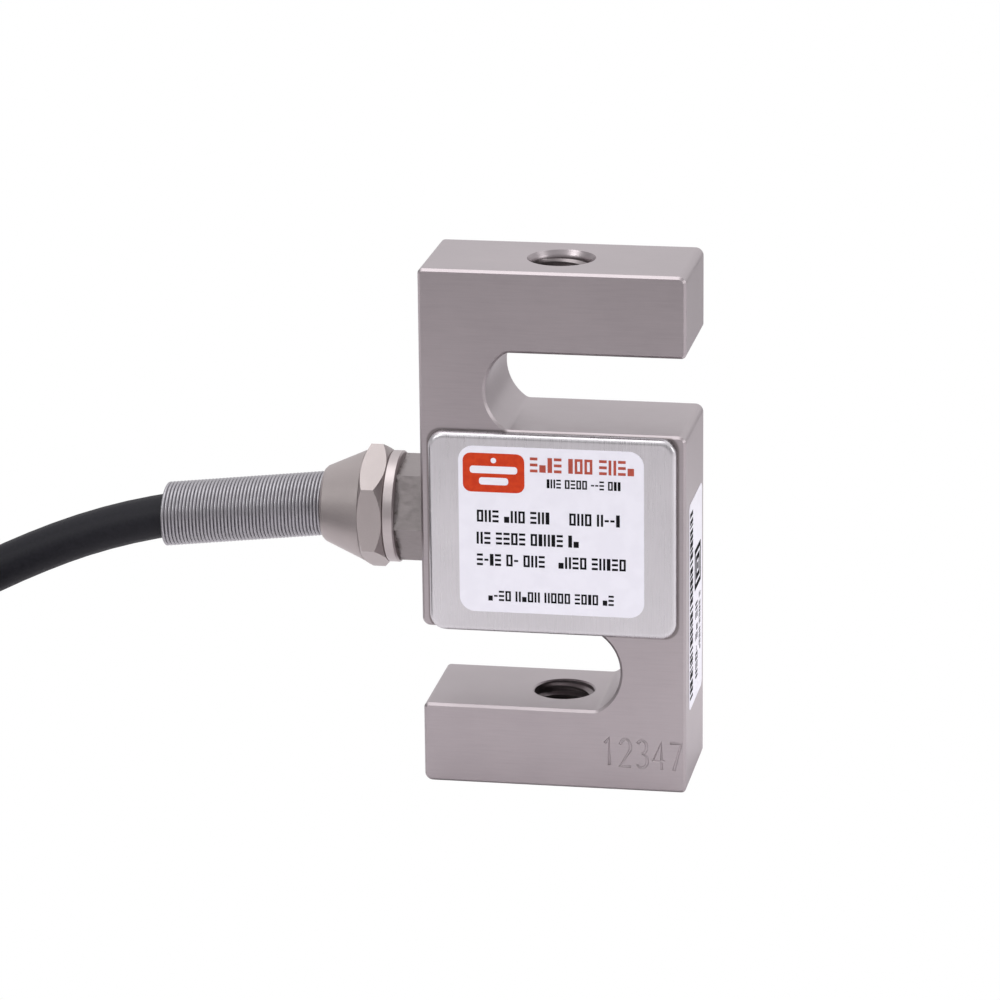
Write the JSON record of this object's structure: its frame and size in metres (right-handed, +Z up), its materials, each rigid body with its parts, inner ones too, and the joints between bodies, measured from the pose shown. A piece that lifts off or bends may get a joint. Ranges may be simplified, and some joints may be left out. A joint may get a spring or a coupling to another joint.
{
  "type": "s type load cell",
  "caption": "S-shaped steel force sensor with a threaded hole in each arm, sealed covers over its gauge pockets, and a cable in a gland with a bend-relief spring.",
  "frame": {"origin": "centre of the bottom face, at the mouth of the lower threaded hole", "axes": "+Z up the loading axis, +X to the open side of the upper slot and away from the cable, -Y out of the front cover"},
  "size_m": [0.2991, 0.1083, 0.105],
  "materials": {
    "body_steel": "ground and nickel plated, satin",
    "cover_steel": "brushed along its height",
    "label_foil": "printed silver-white foil",
    "fitting_steel": "turned",
    "nut_steel": "bead blasted",
    "seal_rubber": "matt",
    "spring_steel": "drawn bright wire",
    "cable_jacket": "matt",
    "tie_plastic": "satin",
    "insulation_red": "satin",
    "insulation_black": "satin",
    "insulation_green": "satin",
    "insulation_white": "satin",
    "tinned_copper": "bright",
    "gauge_foil": "amber film",
    "board_laminate": "green laminate",
    "resistor_body": "ceramic"
  },
  "bodies": {
    "root": {"s_beam_body": "body_steel", "front_cover": "cover_steel", "back_cover": "cover_steel", "front_label": "label_foil", "side_label": "label_foil", "gland_boss": "fitting_steel", "gland_ring": "fitting_steel", "gland_nut": "nut_steel", "gland_seal": "seal_rubber", "thrust_washer": "fitting_steel", "strain_relief_spring": "spring_steel", "cable": "cable_jacket", "cable_coil": "cable_jacket", "cable_tail": "cable_jacket", "coil_tie_1": "tie_plastic", "coil_tie_2": "tie_plastic", "core_red": "insulation_red", "core_black": "insulation_black", "core_green": "insulation_green", "core_white": "insulation_white", "shield_drain": "tinned_copper", "lead_red": "insulation_red", "lead_black": "insulation_black", "lead_green": "insulation_green", "lead_white": "insulation_white", "bridge_link": "tinned_copper", "strain_gauge_1": "gauge_foil", "strain_gauge_2": "gauge_foil", "strain_gauge_3": "gauge_foil", "strain_gauge_4": "gauge_foil", "terminal_board_front": "board_laminate", "terminal_board_back": "board_laminate", "balance_resistor": "resistor_body", "span_resistor": "resistor_body"}
  },
  "joints": []
}
